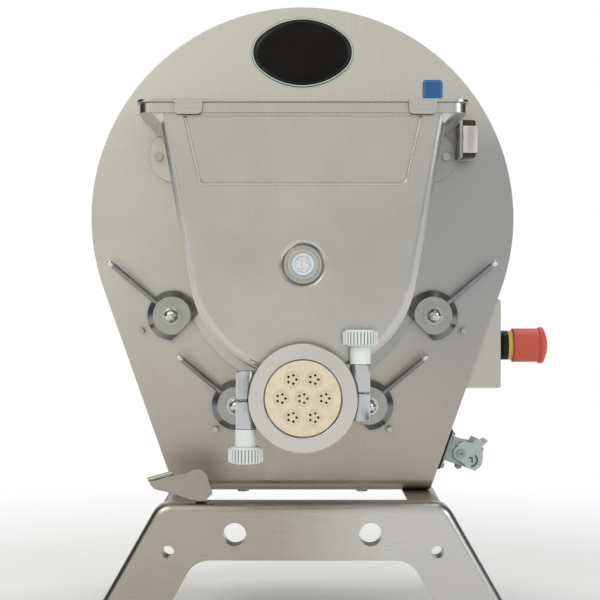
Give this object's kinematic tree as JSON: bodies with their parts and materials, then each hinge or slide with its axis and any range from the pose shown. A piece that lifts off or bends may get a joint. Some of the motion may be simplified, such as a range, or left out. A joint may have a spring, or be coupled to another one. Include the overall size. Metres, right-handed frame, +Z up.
{
  "type": "electric pasta maker",
  "caption": "Electric pasta extruder: round-topped steel casing on a splayed stand, lidded mixing tub, barrel with round die, cam locks and side controls.",
  "frame": {"origin": "on the table under the middle of the front plate's front face", "axes": "+Z up, -Y out of the machine's front, +X towards the control box; x = 0 is the middle plane"},
  "size_m": [0.5113, 0.5489, 0.694],
  "materials": {
    "body_steel": "brushed",
    "stand_steel": "brushed",
    "tub_steel": "satin",
    "lid_steel": "satin",
    "ring_steel": "brushed",
    "lever_steel": "satin",
    "cam_steel": "brushed",
    "bolt_steel": "polished",
    "bearing_steel": "polished",
    "gear_steel": "machined",
    "chrome": "polished",
    "gearbox_alloy": "cast",
    "die_bronze": "satin",
    "insert_bronze": "satin",
    "badge_black": "gloss",
    "bush_plastic": "satin",
    "knob_plastic": "satin",
    "black_plastic": "matte",
    "yellow_plastic": "satin",
    "red_plastic": "satin",
    "green_plastic": "satin",
    "fan_plastic": "matte",
    "socket_plastic": "satin",
    "socket_metal": "satin",
    "motor_paint": "painted",
    "foot_rubber": "matte",
    "seal_rubber": "matte",
    "gasket_rubber": "matte"
  },
  "bodies": {
    "machine": {"front_plate": "body_steel", "casing_shell": "body_steel", "rear_cover": "body_steel", "screws_and_bolts": "bolt_steel", "badge": "badge_black", "stand_front_frame": "stand_steel", "stand_rear_frame": "stand_steel", "stand_left_rail": "stand_steel", "stand_right_rail": "stand_steel", "stand_feet": "foot_rubber", "mixing_tub": "tub_steel", "tub_flange": "tub_steel", "plate_pins": "bolt_steel", "hub_bush": "bush_plastic", "hub_cap": "bolt_steel", "lid_hinge_brackets": "body_steel", "sensor_bracket": "body_steel", "sensor_body": "black_plastic", "sensor_cover": "chrome", "barrel": "tub_steel", "clamp_collar": "chrome", "die_plate": "die_bronze", "die_inserts": "insert_bronze", "shaft_seals": "seal_rubber", "cam_studs": "bolt_steel", "cam_nuts": "chrome", "gearbox_front_plate": "gearbox_alloy", "gearbox_rear_plate": "gearbox_alloy", "shaft_bearings": "bearing_steel", "motor_housing": "motor_paint", "electrical_box": "black_plastic", "control_box": "body_steel", "control_bezels": "black_plastic", "stop_collar": "yellow_plastic", "socket_gasket": "gasket_rubber", "socket_housing": "socket_plastic", "cable_gland": "black_plastic"},
    "lid_body": {"lid": "lid_steel", "lid_hinge_pins": "bolt_steel"},
    "cam_upper_left_body": {"cam_upper_left": "cam_steel"},
    "cam_upper_right_body": {"cam_upper_right": "cam_steel"},
    "cam_lower_left_body": {"cam_lower_left": "cam_steel"},
    "cam_lower_right_body": {"cam_lower_right": "cam_steel"},
    "auger_body": {"auger": "tub_steel", "auger_gear": "gear_steel"},
    "mixer_body": {"mixer_shaft": "tub_steel", "mixer_gear": "gear_steel"},
    "rotor_body": {"motor_rotor": "gear_steel", "motor_fan": "fan_plastic"},
    "die_ring_body": {"die_ring": "ring_steel"},
    "left_clamp_body": {"left_clamp_pin": "bolt_steel", "left_clamp_knob": "knob_plastic"},
    "right_clamp_body": {"right_clamp_pin": "bolt_steel", "right_clamp_knob": "knob_plastic"},
    "stop_button_body": {"stop_button": "red_plastic"},
    "start_button_body": {"start_button": "green_plastic"},
    "selector_body": {"selector_knob": "black_plastic"},
    "socket_cover_body": {"socket_cover": "socket_plastic"},
    "socket_lever_body": {"socket_lever": "socket_metal"},
    "stand_lever_body": {"stand_lever": "lever_steel"}
  },
  "joints": [
    {"name": "lid_hinge", "type": "hinge", "parent": "machine", "child": "lid_body", "pos_m": [0, -0.014, 0.576], "axis": [-1, 0, 0], "range_deg": [0, 92]},
    {"name": "cam_upper_left_turn", "type": "hinge", "parent": "machine", "child": "cam_upper_left_body", "pos_m": [-0.1425, -0.0044, 0.355], "axis": [0, -1, 0], "range_deg": [0, 58]},
    {"name": "cam_upper_right_turn", "type": "hinge", "parent": "machine", "child": "cam_upper_right_body", "pos_m": [0.1425, -0.0044, 0.355], "axis": [0, 1, 0], "range_deg": [0, 58]},
    {"name": "cam_lower_left_turn", "type": "hinge", "parent": "machine", "child": "cam_lower_left_body", "pos_m": [-0.072, -0.0044, 0.25675], "axis": [0, -1, 0], "range_deg": [0, 79]},
    {"name": "cam_lower_right_turn", "type": "hinge", "parent": "machine", "child": "cam_lower_right_body", "pos_m": [0.072, -0.0044, 0.25675], "axis": [0, 1, 0], "range_deg": [0, 79]},
    {"name": "auger_spin", "type": "hinge", "parent": "machine", "child": "auger_body", "pos_m": [0, 0.024, 0.27975], "axis": [0, 1, 0], "continuous": true},
    {"name": "mixer_spin", "type": "hinge", "parent": "machine", "child": "mixer_body", "pos_m": [0, 0.024, 0.406], "axis": [0, 1, 0], "continuous": true},
    {"name": "motor_spin", "type": "hinge", "parent": "machine", "child": "rotor_body", "pos_m": [0.08692, 0.024, 0.24811], "axis": [0, 1, 0], "continuous": true},
    {"name": "die_ring_turn", "type": "hinge", "parent": "machine", "child": "die_ring_body", "pos_m": [0, -0.215, 0.27975], "axis": [0, 1, 0], "continuous": true},
    {"name": "left_clamp_slide", "type": "slide", "parent": "machine", "child": "left_clamp_body", "axis": [0, 0, -1], "range_m": [0, 0.028]},
    {"name": "right_clamp_slide", "type": "slide", "parent": "machine", "child": "right_clamp_body", "axis": [0, 0, 1], "range_m": [0, 0.028]},
    {"name": "stop_press", "type": "slide", "parent": "machine", "child": "stop_button_body", "axis": [-1, 0, 0], "range_m": [0, 0.005]},
    {"name": "start_press", "type": "slide", "parent": "machine", "child": "start_button_body", "axis": [-1, 0, 0], "range_m": [0, 0.003], "stiffness_N_per_m": 400, "springref_m": -0.002},
    {"name": "selector_turn", "type": "hinge", "parent": "machine", "child": "selector_body", "pos_m": [0.22, 0.12, 0.321], "axis": [1, 0, 0], "range_deg": [-60, 60]},
    {"name": "socket_cover_hinge", "type": "hinge", "parent": "machine", "child": "socket_cover_body", "pos_m": [0.17368, 0.032, 0.18556], "axis": [0, 1, 0], "range_deg": [0, 100]},
    {"name": "socket_lever_hinge", "type": "hinge", "parent": "machine", "child": "socket_lever_body", "pos_m": [0.17576, 0.032, 0.2019], "axis": [0, -1, 0], "range_deg": [0, 60]},
    {"name": "stand_lever_turn", "type": "hinge", "parent": "machine", "child": "stand_lever_body", "pos_m": [-0.106, -0.0845, 0.171], "axis": [0, 1, 0], "range_deg": [0, 40]}
  ],
  "couplings": [
    {"joint": "mixer_spin", "follows": "auger_spin", "ratio": -1.2444},
    {"joint": "motor_spin", "follows": "auger_spin", "ratio": -3.1111}
  ]
}
